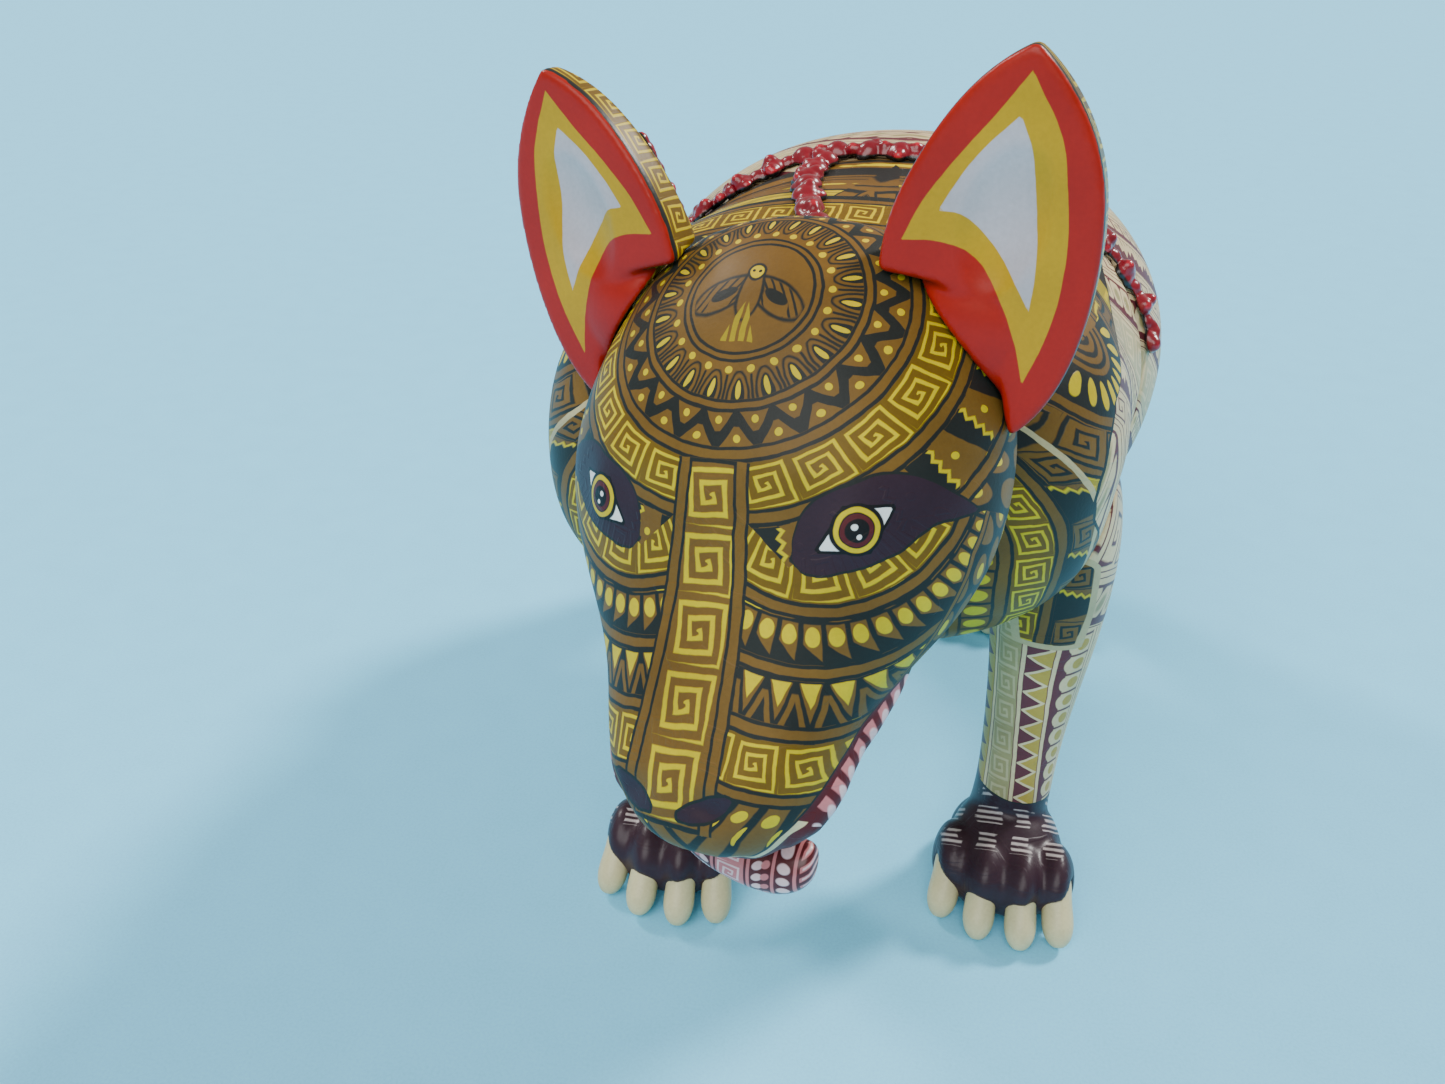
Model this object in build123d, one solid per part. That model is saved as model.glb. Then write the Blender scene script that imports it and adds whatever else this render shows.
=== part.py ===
from build123d import *
import os
from math import copysign, cos, pi, radians, sin

# Painted wooden wolf, pegged together from whittled blocks. Millimetres, +Z up.
# The figure faces -Y with its tail at +Y, its left side is +X, and it stands on z = 0.
# The origin is the middle of its footprint, on the floor.

STANCE_SHIFT = -113.5        # moves the paws' line (y = 0 below) so that the footprint is centred

# torso
MANTLE_JOINT = (0, 83, 195)   # on the sawn joint between the body and shoulder blocks
MANTLE_TILT = 22.8           # the joint leans back at the top by this angle
DOWEL_R = 5.0
DOWEL_FIT = 0.05

# head frame: centre of the skull and how the head is turned
HEAD_CENTRE = (-14.5, -31.0, 223.5)
HEAD_YAW = -5.5              # towards the figure's right
HEAD_PITCH = 56.0            # nose below the horizon
HEAD_ROLL = 11.0             # about the nose's own axis

# ears
EAR_ROOT = (43.0, 20.0, 22.0)
EAR_AXIS = (0.295, 0.823, 0.481)
EAR_FACE = (0.10, -0.56, 0.82)
EAR_SEAT_GAP = 0.5
EAR_THICK = 20.0
EAR_SCALE = 0.93
EAR_PEG_R = 4.0
EAR_PEG_FIT = 0.08
EAR_PEG_IN_HEAD = 15.0
EAR_PEG_IN_EAR = 12.0

# feet
FOOT_X = {1: 63.5, -1: 65.0}
FORE_Y = {1: 53.0, -1: 38.0}
HIND_Y = {1: 262.0, -1: 256.0}
PAW_W = 50.0
CLAW_LEN = 22.5
CLAW_LEAN = 46.0
CLAW_LIFT = 0.5

# tail
TAIL_Z = 200.0
TAIL_PEG_R = 5.0
TAIL_PEG_FIT = 0.08
TAIL_GAP = 0.3

# red crest
CREST_R = 5.0
CREST_STEP = 6.5


def power(value, exponent):
    return copysign(abs(value) ** exponent, value)


def ring(place, half, high, low, square=2.0, count=16):
    """A closed smooth section: half is its half width, high and low its edges."""
    middle = (high + low) / 2
    tall = (high - low) / 2
    points = []
    for k in range(count):
        a = 2 * pi * k / count
        across = half * power(cos(a), 2 / square)
        up = middle + tall * power(sin(a), 2 / square)
        points.append(place(across, up))
    return Wire([Edge.make_spline(points, periodic=True)])


def hull(rings):
    return Part() + Solid.make_loft(rings)


def largest(shape):
    return Part() + max(shape.solids(), key=lambda solid: solid.volume)


def ellipsoid(a, b, c):
    return scale(Sphere(1), by=(a, b, c))


def blob(x, y, z, a, b, c):
    """Egg-shaped pad, lofted along y, with half sizes a, b, c."""
    rings = []
    for t in (-0.985, -0.9, -0.7, -0.35, 0, 0.35, 0.7, 0.9, 0.985):
        size = (1 - t * t) ** 0.5
        place = lambda p, q, t=t: (x + p, y + b * t, z + q)
        rings.append(ring(place, a * size, c * size, -c * size))
    return hull(rings)


def half_space(plane, size=600):
    """A big block on the positive side of a plane."""
    return plane * Pos(0, 0, size / 2) * Box(size, size, size)


# ---------------------------------------------------------------- torso

# y, middle x, half width, top, bottom, squareness
TORSO = (
    (-24, -16, 26, 214, 168, 2.1),
    (-19, -16, 52, 229, 153, 2.2),
    (-8, -16, 76, 242, 140, 2.3),
    (10, -14, 88, 252, 129, 2.45),
    (36, -12, 93, 260, 121, 2.45),
    (64, -8, 92, 264, 115, 2.3),
    (96, -2, 96, 265, 111, 2.1),
    (135, 0, 101, 268, 110, 2.1),
    (175, 0, 98, 263, 114, 2.1),
    (212, 0, 91, 252, 122, 2.1),
    (244, 0, 79, 238, 134, 2.1),
    (268, 0, 58, 225, 150, 2.1),
    (281, 0, 36, 215, 168, 2.1),
    (287, 0, 17, 210, 189, 2.1),
)


def torso_blank():
    rings = []
    for y, x, half, top, bottom, square in TORSO:
        place = lambda a, b, x=x, y=y: (x + a, y, b)
        rings.append(ring(place, half, top, bottom, square))
    return hull(rings)


# ---------------------------------------------------------------- head, in its own frame
# local x is to the figure's left, local -y runs to the nose, local z is the top of the muzzle

# distance towards the nose, half width, top, bottom, squareness
SKULL = (
    (-54, 16, 15, -14, 2.0),
    (-48, 33, 28, -28, 2.0),
    (-37, 46, 37, -39, 2.0),
    (-20, 54.5, 43.5, -45, 2.05),
    (-2, 59, 46.5, -45, 2.1),
    (14, 60, 46.5, -41, 2.1),
    (30, 57.5, 43, -36, 2.1),
    (46, 50.5, 38.5, -29, 2.15),
    (60, 42, 36, -21, 2.2),
    (74, 35.5, 34.5, -14, 2.3),
    (87, 32, 33, -10, 2.4),
    (99, 27, 31, -7, 2.4),
    (108, 20, 27, -3, 2.3),
    (113, 10, 20, 4, 2.1),
)


def head_plane():
    """Plane whose x, y, z are the head's left, back of head and top of muzzle."""
    yaw, pitch, roll = radians(HEAD_YAW), radians(HEAD_PITCH), radians(HEAD_ROLL)
    ahead = Vector(sin(yaw), -cos(yaw), 0)
    side = Vector(cos(yaw), sin(yaw), 0)
    nose = ahead * cos(pitch) - Vector(0, 0, 1) * sin(pitch)
    top = ahead * sin(pitch) + Vector(0, 0, 1) * cos(pitch)
    left = side * cos(roll) + top * sin(roll)
    crown = top * cos(roll) - side * sin(roll)
    return Plane(origin=HEAD_CENTRE, x_dir=left, z_dir=crown)


def skull_blank():
    rings = []
    for s, half, top, bottom, square in SKULL:
        rings.append(ring(lambda a, b, s=s: (a, -s, b), half, top, bottom, square))
    skull = hull(rings)
    # soft hollows in front of the brow, where the eyes are painted
    for side in (1, -1):
        skull -= Pos(side * 40, -50, 47) * Rot(0, side * 38, 0) * ellipsoid(20, 22, 11)
    # nostrils
    for side in (1, -1):
        skull -= Pos(side * 12.5, -116, 17) * Rot(0, 0, side * 25) * ellipsoid(4.2, 6, 3)
    return skull


def mouth_wedge():
    """The open mouth, between the upper muzzle and the lower jaw."""
    return Pos(0, -90, -15) * Rot(6, 0, 0) * Box(60, 66, 7)


# distance towards the chin, half width, top, bottom
JAW = (
    (8, 30, -30, -47),
    (24, 30, -27, -48),
    (42, 28, -23.5, -45),
    (60, 25, -20, -39),
    (78, 21, -17, -33),
    (92, 16.5, -15.5, -28),
    (100, 11, -16, -25),
    (104, 5, -17.5, -22),
)


def jaw_blank():
    rings = []
    for s, half, top, bottom in JAW:
        rings.append(ring(lambda a, b, s=s: (a, -s, b), half, top, bottom, 2.5))
    return hull(rings)


def tongue_blank():
    """Flat tongue: out over the lower lip, then curling to the figure's left."""
    # centre of each section (local x, forward, local z), half width, half thickness
    run = (
        (-6, 62, -15.5, 11, 2.2),
        (-6, 82, -13.6, 12, 2.4),
        (-5, 98, -11.6, 12.5, 2.5),
        (-3, 108, -10.2, 12.5, 2.6),
    )
    rings = []
    for x, s, z, half, thick in run:
        rings.append(ring(lambda a, b, x=x, s=s: (x + a, -s, b), half, z + thick, z - thick))
    flat = hull(rings)
    # the lolling end, a thick curl lying across the front of the mouth
    curl = []
    bend = (
        (-21, 107, -8.0, 3.0, 3.2),
        (-17, 110, -7.6, 6.6, 4.0),
        (-7, 114, -7.4, 8.0, 4.4),
        (4, 116, -7.2, 8.2, 4.4),
        (14, 116, -7.0, 8.0, 4.6),
        (20, 114.5, -6.8, 6.8, 4.4),
        (23, 113.5, -6.6, 4.0, 3.0),
    )
    for x, s, z, deep, thick in bend:
        curl.append(ring(lambda a, b, x=x, s=s: (x, -s + a, b), deep, z + thick, z - thick))
    return flat + hull(curl)


# ---------------------------------------------------------------- ears

# ear outline on its own flat face: distance up the ear, distance outwards
EAR_OUTER = ((75, 0), (66, 12.5), (51, 24), (33, 30), (10, 32.5), (-9, 29.5), (-19, 24))
EAR_ROOT_EDGE = ((-19, 24), (-7, 18), (7, 9.5), (14, -0.5), (14.5, -10), (13.5, -21.5))
EAR_INNER = ((13.5, -21.5), (27, -22.5), (45, -19), (64, -10.5), (75, 0))


def ear_plane():
    """Flat face of the left ear in the head's frame: x outwards, y up the ear."""
    up = Vector(*EAR_AXIS).normalized()
    face = Vector(*EAR_FACE)
    face = (face - up * face.dot(up)).normalized()
    return Plane(origin=EAR_ROOT, x_dir=up.cross(face), z_dir=face)


def ear_blank():
    """Left ear: a leaf with a shallow dished face and a rounded back."""
    edges = []
    for line in (EAR_OUTER, EAR_ROOT_EDGE, EAR_INNER):
        edges.append(Edge.make_spline([(b * EAR_SCALE, a * EAR_SCALE, 0) for a, b in line]))
    leaf = extrude(Face(Wire(edges)), amount=EAR_THICK, dir=(0, 0, -1))
    leaf = leaf & Pos(4, 6, 1.5) * ellipsoid(35, 70, EAR_THICK)
    leaf -= Pos(5, 32, 27) * ellipsoid(23, 40, 30)
    # heel of the ear, behind its face, that sits on the skull
    heel = Pos(6, 4, -9) * ellipsoid(19, 19, 10.5)
    return leaf + heel


def mirror_head(shape):
    return mirror(shape, about=Plane.YZ)


# ---------------------------------------------------------------- legs

# height, middle x, y from the foot's line, half width, half depth
FORELEG = (
    (8, 0, 0, 15.5, 17),
    (28, 0, 0, 15, 16.5),
    (50, 1, 0, 14.5, 15.5),
    (80, 2, 1, 16, 17),
    (110, 3, 2, 19, 20.5),
    (138, 3, 4, 21.5, 26),
    (165, 2, 6, 21, 30),
    (188, -2, 8, 17, 27),
    (200, -6, 9, 9, 15),
)
HINDLEG = (
    (8, 0, -2, 15, 16),
    (30, 0, 1, 14, 14),
    (52, 0, 7, 13.5, 13.5),
    (74, 1, 10, 15, 17),
    (98, 4, 2, 19, 25),
    (126, 8, -10, 23, 35),
    (156, 11, -16, 25.5, 42),
    (186, 11, -18, 24.5, 41),
    (210, 9, -18, 18, 30),
    (222, 8, -18, 8, 14),
)


def leg_blank(rows, side, foot_y):
    rings = []
    for z, dx, dy, half, deep in rows:
        cx = side * (FOOT_X[side] + dx)
        cy = foot_y + dy
        rings.append(ring(lambda a, b, z=z, cx=cx: (cx + a, b, z), half, cy + deep, cy - deep))
    return hull(rings)


def toe_xs(side):
    return [side * FOOT_X[side] + PAW_W * t for t in (-0.40, -0.15, 0.13, 0.38)]


def toe_reach(index):
    """How far a toe stands forward: the middle toes lead and the first one is set back."""
    return (-5.0, 3.0, 5.0, 1.0)[index]


def paw_blank(side, foot_y):
    """Padded foot: heel pad, instep and four toes, cut flat underneath."""
    x = side * FOOT_X[side]
    paw = blob(x, foot_y + 1, 12, PAW_W * 0.43, 20, 16)
    paw += blob(x, foot_y - 9, 19, PAW_W * 0.42, 21, 19)
    for index, toe_x in enumerate(toe_xs(side)):
        paw += blob(toe_x, foot_y - 25.5 - toe_reach(index), 17.5, 7.3, 14, 13.8)
    return paw & Pos(x, foot_y, 60) * Box(90, 120, 120)


# distance up from the middle of the claw's round end, radius
CLAW = (
    (-5.2, 1.3),
    (-4.4, 2.8),
    (-2.6, 4.3),
    (0.5, 5.5),
    (7, 5.8),
    (15, 5.6),
    (21, 5.0),
    (CLAW_LEN, 4.2),
)


def claw(side, foot_y, index):
    """Blunt rounded claw, let into the end of its toe and leaning forward to the floor."""
    toe_x = toe_xs(side)[index]
    fan = radians((index - 1.5) * 6.0)
    lean = radians(CLAW_LEAN)
    back = Vector(-sin(fan) * cos(lean), cos(fan) * cos(lean), sin(lean))
    root = Vector(toe_x, foot_y - 26 - toe_reach(index), CLAW_LIFT + 5.9 + CLAW_LEN * sin(lean))
    tip = root - back * CLAW_LEN
    plane = Plane(origin=tip, x_dir=(cos(fan), sin(fan), 0), z_dir=back)
    rings = []
    for s, r in CLAW:
        place = lambda a, b, s=s: plane.from_local_coords(Vector(a, b, s))
        rings.append(ring(place, r, r, -r))
    return hull(rings)


# ---------------------------------------------------------------- tail

# y, height, radius along the hanging tail
TAIL = (
    (287 + TAIL_GAP, 200, 11),
    (294, 199, 13),
    (304, 194, 15),
    (313, 183, 17),
    (319, 166, 18.5),
    (322, 146, 19),
    (322, 126, 18),
    (321, 108, 15.5),
    (321, 92, 12),
    (323, 79, 7.5),
    (325, 71, 3),
)


def tail_blank():
    rings = []
    last = len(TAIL) - 1
    for k, (y, z, r) in enumerate(TAIL):
        before = TAIL[max(k - 1, 0)]
        after = TAIL[min(k + 1, last)]
        along = Vector(0, after[0] - before[0], after[1] - before[1]).normalized()
        if k == 0:
            along = Vector(0, 1, 0)
        plane = Plane(origin=(0, y, z), x_dir=(1, 0, 0), z_dir=along)
        place = lambda a, b, plane=plane: plane.from_local_coords(Vector(a, b, 0))
        rings.append(ring(place, r, r, -r))
    return hull(rings)


# ---------------------------------------------------------------- crest

def surface_point(solid, origin, direction):
    """Where a ray from inside a solid leaves it."""
    hits = solid.find_intersection_points(Axis(origin, direction))
    ahead = [p for p, _ in hits if (p - Vector(*origin)).dot(Vector(*direction)) > 0]
    return max(ahead, key=lambda p: (p - Vector(*origin)).length)


def beads(points, radius):
    lumps = []
    for k, p in enumerate(points):
        size = radius * (1.0 + 0.14 * (-1) ** k)
        lumps.append(Pos(p.X, p.Y, p.Z) * Sphere(size))
    strand = lumps[0]
    return strand.fuse(*lumps[1:])


def mantle_plane():
    tilt = radians(MANTLE_TILT)
    return Plane(origin=MANTLE_JOINT, x_dir=(1, 0, 0), z_dir=(0, cos(tilt), -sin(tilt)))


def back_line(torso, start, stop):
    """Points over the back along the mantle's edge, by angle above the left side."""
    points = []
    steps = max(2, round(abs(stop - start) * 1.55 / CREST_STEP))
    joint = mantle_plane()
    upward = Vector(0, sin(radians(MANTLE_TILT)), cos(radians(MANTLE_TILT)))
    for k in range(steps + 1):
        angle = radians(start + (stop - start) * k / steps)
        origin = joint.origin + joint.z_dir * (1.0 + 3.0 * sin(angle * 7))
        ray = Vector(1, 0, 0) * cos(angle) + upward * sin(angle)
        points.append(surface_point(torso, tuple(origin), tuple(ray)))
    return points


def nape_line(torso):
    """Points from the back crest forward along the nape to just behind the crown."""
    corners = ((-27, 105), (-30, 88), (-28, 70), (-26, 52), (-20, 36), (-14, 24), (-9, 13))
    points = []
    for (x0, y0), (x1, y1) in zip(corners, corners[1:]):
        steps = max(1, round(((x1 - x0) ** 2 + (y1 - y0) ** 2) ** 0.5 / CREST_STEP))
        for k in range(steps):
            t = k / steps
            x = x0 + (x1 - x0) * t
            y = y0 + (y1 - y0) * t
            points.append(surface_point(torso, (x, y, 190), (0, 0, 1)))
    return points


def ear_strand_line(ear):
    """Short red strand on the back of the ear, near its inner edge."""
    spots = ((-13, 27), (-13.5, 31), (-12.5, 35), (-13, 39), (-11.5, 43))
    return [surface_point(ear, (x, y, -1.5), (0, 0, -1)) for x, y in spots]


# ---------------------------------------------------------------- assembly

def dowel(a, b, radius):
    """Round wooden peg between two points."""
    a = Vector(*a)
    b = Vector(*b)
    plane = Plane(origin=a, z_dir=(b - a).normalized())
    length = (b - a).length
    return plane * Pos(0, 0, length / 2) * Cylinder(radius, length)


def pegged(first, second, a, b, radius):
    """Bores a peg hole through two blocks and returns them with the peg."""
    hole = dowel(a, b, radius + DOWEL_FIT)
    return largest(first - hole), largest(second - hole), dowel(a, b, radius)


parts = {}
torso = torso_blank()
head_at = head_plane()
to_world = head_at.location

skull = to_world * skull_blank()
joint = mantle_plane()
trunk = torso & half_space(joint)
neck = torso & half_space(Plane(origin=MANTLE_JOINT, z_dir=-joint.z_dir))
neck -= skull

# head, jaw and tongue
head_local = skull_blank()
jaw_local = jaw_blank() - head_local - mouth_wedge()
head_local -= mouth_wedge()
tongue_local = tongue_blank() - head_local - jaw_local
head = to_world * head_local
jaw = to_world * jaw_local - neck
tongue = to_world * tongue_local

# ears with their pegs, whose axis is the way that the ear lifts off
ear_at = ear_plane()
pull = Vector(*EAR_AXIS).normalized()
peg_root = Vector(*EAR_ROOT) + ear_at.z_dir * -8.0
peg_in = peg_root - pull * EAR_PEG_IN_HEAD
peg_out = peg_root + pull * EAR_PEG_IN_EAR
seat = Pos(*(pull * EAR_SEAT_GAP)) * skull_blank()
ear_local = ear_at.location * ear_blank() - seat
nape_seat = to_world.inverse() * torso
ear_local -= Pos(*(pull * EAR_SEAT_GAP)) * nape_seat
ear_local -= Pos(*(pull * EAR_SEAT_GAP)) * mirror_head(nape_seat)
socket = dowel(peg_in - pull * 1.0, peg_out, EAR_PEG_R + EAR_PEG_FIT)
ear_local -= dowel(peg_in, peg_out, EAR_PEG_R)
peg_local = dowel(peg_in, peg_out, EAR_PEG_R)
head -= to_world * socket
head -= to_world * mirror_head(socket)
neck_socket = to_world * (socket + mirror_head(socket))
neck -= neck_socket
ear_strand = ear_at.location * beads(ear_strand_line(ear_blank()), CREST_R * 0.62) - ear_local
parts["crest_ear"] = to_world * mirror_head(ear_strand)
parts["ear_left"] = to_world * ear_local
parts["ear_right"] = to_world * mirror_head(ear_local)
parts["ear_left_peg"] = to_world * peg_local
parts["ear_right_peg"] = to_world * mirror_head(peg_local)

# legs: each one butts against the torso and is doweled into it
for side, hand in ((1, "left"), (-1, "right")):
    for kind, rows, feet in (("fore", FORELEG, FORE_Y), ("hind", HINDLEG, HIND_Y)):
        foot_y = feet[side]
        paw = paw_blank(side, foot_y)
        for k in range(4):
            one = claw(side, foot_y, k)
            paw = largest(paw - one)
            parts[f"claw_{kind}_{hand}_{k + 1}"] = one
        leg = largest(leg_blank(rows, side, foot_y) - torso)
        parts[f"{kind}leg_{hand}"] = largest(leg + paw)

# leg dowels
for side, hand in ((1, "left"), (-1, "right")):
    x = side * (FOOT_X[side] + 1)
    y = FORE_Y[side] - 9
    leg, neck, peg = pegged(
        parts[f"foreleg_{hand}"], neck, (x, y, 98), (x * 0.98, y - 2, 152), DOWEL_R
    )
    parts[f"foreleg_{hand}"] = leg
    parts[f"dowel_foreleg_{hand}"] = peg
    x = side * (FOOT_X[side] + 20)
    y = HIND_Y[side] - 16
    leg, trunk, peg = pegged(
        parts[f"hindleg_{hand}"], trunk, (x, y, 160), (x - side * 40, y - 4, 166), DOWEL_R
    )
    parts[f"hindleg_{hand}"] = leg
    parts[f"dowel_hindleg_{hand}"] = peg

# block dowels
inner = tuple(joint.origin + joint.z_dir * 25)
outer = tuple(joint.origin - joint.z_dir * 25)
trunk, neck, peg = pegged(trunk, neck, inner, outer, 7.0)
parts["dowel_neck"] = peg
head, neck, peg = pegged(head, neck, (-15, -5, 205), (-10, 40, 190), 6.0)
parts["dowel_head"] = peg

# tail and its peg
tail = tail_blank()
peg_a = (0, 287 - 18, TAIL_Z)
peg_b = (0, 287 + 10, TAIL_Z)
parts["tail_peg"] = dowel(peg_a, peg_b, TAIL_PEG_R)
trunk -= dowel((0, 287 - 19, TAIL_Z), (0, 300, TAIL_Z), TAIL_PEG_R + TAIL_PEG_FIT)
parts["tail"] = tail - dowel((0, 280, TAIL_Z), (0, 287 + 10.5, TAIL_Z), TAIL_PEG_R + TAIL_PEG_FIT)

# crest strands, each let down onto the wood under it
back = beads(back_line(torso, 50, 132), CREST_R) - torso
left_strand = beads(back_line(torso, 12, 48), CREST_R * 0.9) - torso - back
right_strand = beads(back_line(torso, 168, 134), CREST_R * 0.9) - torso - back
nape = beads(nape_line(torso), CREST_R) - torso - skull - back
parts["crest_back"] = back
parts["crest_shoulder_left"] = left_strand
parts["crest_shoulder_right"] = right_strand
parts["crest_nape"] = nape

parts["trunk"] = trunk
parts["neck_block"] = neck
parts["head"] = head
parts["lower_jaw"] = jaw
parts["tongue"] = tongue

os.makedirs("parts", exist_ok=True)
for name, shape in parts.items():
    solids = shape.solids()
    placed = Pos(0, STANCE_SHIFT, 0) * Compound(children=[s for s in solids])
    out = placed.solids()[0] if len(solids) == 1 else placed
    out.label = name
    export_step(out, f"parts/{name}.step")
    print(name, len(solids), round(sum(s.volume for s in solids)))
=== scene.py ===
import math
import bpy
import numpy as np
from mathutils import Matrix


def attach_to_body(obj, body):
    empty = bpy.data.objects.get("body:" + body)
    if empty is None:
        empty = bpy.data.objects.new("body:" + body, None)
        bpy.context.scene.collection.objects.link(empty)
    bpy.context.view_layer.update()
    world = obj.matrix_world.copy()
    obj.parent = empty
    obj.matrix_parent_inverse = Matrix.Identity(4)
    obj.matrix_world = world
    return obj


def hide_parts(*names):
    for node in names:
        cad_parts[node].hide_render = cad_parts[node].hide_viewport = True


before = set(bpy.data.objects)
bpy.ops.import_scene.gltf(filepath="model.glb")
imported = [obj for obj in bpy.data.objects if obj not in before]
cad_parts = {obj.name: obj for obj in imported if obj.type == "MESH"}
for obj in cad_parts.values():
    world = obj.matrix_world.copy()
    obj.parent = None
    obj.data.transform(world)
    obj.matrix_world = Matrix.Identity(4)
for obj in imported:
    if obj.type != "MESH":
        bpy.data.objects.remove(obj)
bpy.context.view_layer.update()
import openvdb as vdb
from mathutils import Euler, Vector

# ---------- sizes, in millimetres unless noted
MM = 0.001
TINY = 1e-6  # keeps a division away from zero
STANCE_SHIFT = -113.5  # stance coordinates have the front paws near y = 0

# the head: its frame counts (to the figure's left, to the nose, to the crown) from its centre
HEAD_CENTRE = (-14.5, -31.0, 223.5)
HEAD_YAW, HEAD_PITCH, HEAD_ROLL = (math.radians(a) for a in (-5.5, 56.0, 11.0))
MEDALLION = (0.0, -25.0, 43.0)  # centre of the rings on the crown
CHEEK = (24.0, 12.0, 38.0)  # centre of the arcs on each cheek
CHEEK_FOOT = 13.0  # below this height the arcs give way to the throat's leaves
# the eye: its centre, and the directions along it and across it
IRIS = np.array([34.7, 28.0, 36.4])
EYE_LONG = np.array([0.772, -0.432, -0.466])
EYE_UP = np.array([-0.204, -0.864, 0.461])
# the dark patch round the eye: along EYE_LONG, along EYE_UP
PATCH_TOP = ((-15.5, -4.4), (-14.9, -1.6), (-13, 2.6), (-8, 8), (0, 10.2), (10.5, 10.6), (17, 8), (24, 2.5),
             (31, -4.7))
PATCH_FOOT = ((-15.5, -4.4), (-14.6, -6.6), (-12, -8.3), (-5, -8.9), (3, -8.6), (9, -7.4), (15, -4.8),
              (19, -3.7), (24, -4), (31, -4.9))
# where the crown's paint meets the cheeks': distances to the side, distances along the nose
BROW_EDGE = ((0, 20, 34.7, 57, 80), (22, 39, 28, 18, 8))
# the painted edge of the upper lip, and the top of the lower jaw: distances along the nose, heights
MOUTH_EDGE = ((56, 64, 73.6, 79.5, 84.6, 89.7, 98.5, 103.8, 112),
              (-2, 5, 11.9, 13.8, 16.2, 17.5, 19.4, 19.8, 17.5))
JAW_EDGE = ((8, 42, 78, 100), (-30, -23.5, -17, -16))
# the full lip that stands out beside the muzzle: side, distance along the nose, height
LIP_ROLL = ((35, 54, -8), (34.6, 63.8, -0.6), (32.6, 73.4, 6), (30.6, 78.5, 8), (29.4, 84.4, 10.2),
            (28.6, 89.5, 11.3), (27.1, 93.7, 12), (24.7, 98.1, 12.6), (19.5, 102.5, 12))
LIP_RADIUS = 5.6
# the dark nose leather: side, distance along the nose
NOSTRIL = ((2.5, 104), (9, 98), (18.5, 94.8), (15.5, 101), (10, 104.5))
# the painted strip down the nose: its ends, and half its width between the eyes and at the tip
RIDGE_START, RIDGE_END = 16.6, 107.0
RIDGE_HALF, RIDGE_HALF_MOST = 5.6, 9.8

# the ears: where each plugs in, its length and the way it faces, in the head's frame
EAR_ROOT = (43.0, 20.0, 22.0)
EAR_AXIS = (0.295, 0.823, 0.481)
EAR_FACE = (0.10, -0.56, 0.82)
EAR_SCALE = 0.93
# the ear's front face: (up, out) along its outer and inner edges, (out, up) along its root
EAR_RED_SHAPE = (
    ((-19, 24), (-9, 29.5), (10, 32.5), (33, 30), (51, 24), (66, 12.5), (75, 0)),
    ((-21.5, 13.5), (-10, 14.5), (-0.5, 14), (9.5, 7), (18, -7), (24, -19)),
    ((13.5, -21.5), (27, -22.5), (45, -19), (64, -10.5), (75, 0)))
EAR_YELLOW_SHAPE = (
    ((-3.5, 22.6), (10.7, 24.3), (30.7, 22.3), (45, 17.7), (57, 12), (69, 1)),
    ((-17.7, 23), (-9.4, 25.2), (-2, 25.2), (4.4, 21.7), (12, 14), (18, 5.4), (22.6, -3.5)),
    ((23, -17.7), (35, -14.7), (47.6, -9.2), (57.5, -4.1), (69, 1)))
EAR_PALE_SHAPE = (
    ((14.8, 18.3), (26.5, 16.2), (42.4, 10.5), (53.7, 5.6), (59, 1.5)),
    ((-10.7, 32.6), (-5, 33.3), (-1, 31.4), (5.3, 27.2), (13, 20.5), (18.3, 14.8)),
    ((32.6, -10.7), (42.7, -7.6), (51.8, -3.2), (59, 1.5)))

# the mantle: where it stops on each flank (height, distance back), and its middle line (distance back, side)
GOLDEN_EDGE = ((118, 37), (134, 37), (152, 35), (165, 25), (177, 14), (185, 6), (193, 3), (199, 4), (210, 10),
               (218, 19), (226, 52), (233, 72), (238, 84), (246, 110), (252, 130))
CHEST_CENTRES = ((-24, -16), (36, -12), (64, -8), (96, -2), (135, 0), (290, 0))
CHEST_HALF = 90.5  # half the chest's painted width
FAN_CENTRE = (22.0, 238.0)  # distance back and height of the shoulder fan's centre
NAPE_MIDDLE = -14.0  # to the side
NAPE_BACK, NAPE_FOOT = 62.0, 236.0  # the nape's own bands end this far back, and at this height

# the legs: where each paw stands (side, distance back)
FEET = {"fore": {1: (63.5, 53), -1: (-65, 38)}, "hind": {1: (63.5, 262), -1: (-65, 256)}}
FORELEG_SHIFT = 8.5  # the chest's bands run on over a foreleg, this much further out
SHANK_TOP = 124.0  # below this height the legs have their own pattern
GOLDEN_FOOT = 119.0  # above this height a foreleg is golden
PAW_TOP, TOE_WIDTH = 43.0, 12.5
FLANK_REPEAT = 92.0  # the flank's bands start again after this much
FLANK_START = 168.0  # height of the middle of the first set

# spacing of the grid on which each kind of piece is carved
STEP = {"head": 1.0, "ear": 0.8, "block": 1.5, "leg": 1.1, "mouth": 0.7, "tail": 1.0, "crest": 0.6}
# the crest's beads: how far each reaches, where it starts to stand out, how steeply
BEAD_REACH, BEAD_EDGE, BEAD_RISE = 3.2, 2.4, 0.75
FEWEST_BEADS, POINTS_PER_BEAD = 12, 260

# the camera and the lamps: place in metres, apparent size in degrees, strength, colour
CAMERA_PLACE = (27.5, -326.4, 360.0)  # in stance coordinates
CAMERA_TILT, CAMERA_TURN = 60.0, 12.0
LENS, SENSOR = 29.9, 36.0
LAMPS = {"key": ((0.85, 0.75, 1.0), 9.0, 3.2, (1.0, 0.98, 0.95)),
         "second": ((-0.95, 0.55, 0.95), 9.0, 1.2, (1.0, 0.98, 0.95)),
         "front": ((-0.3, -1.3, 1.3), 50.0, 2.7, (1.0, 0.99, 0.97))}
FLOOR_HALF = 30.0  # metres
SKY, SKY_STRENGTH = (0.84, 0.86, 0.86, 1), 0.42

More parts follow.
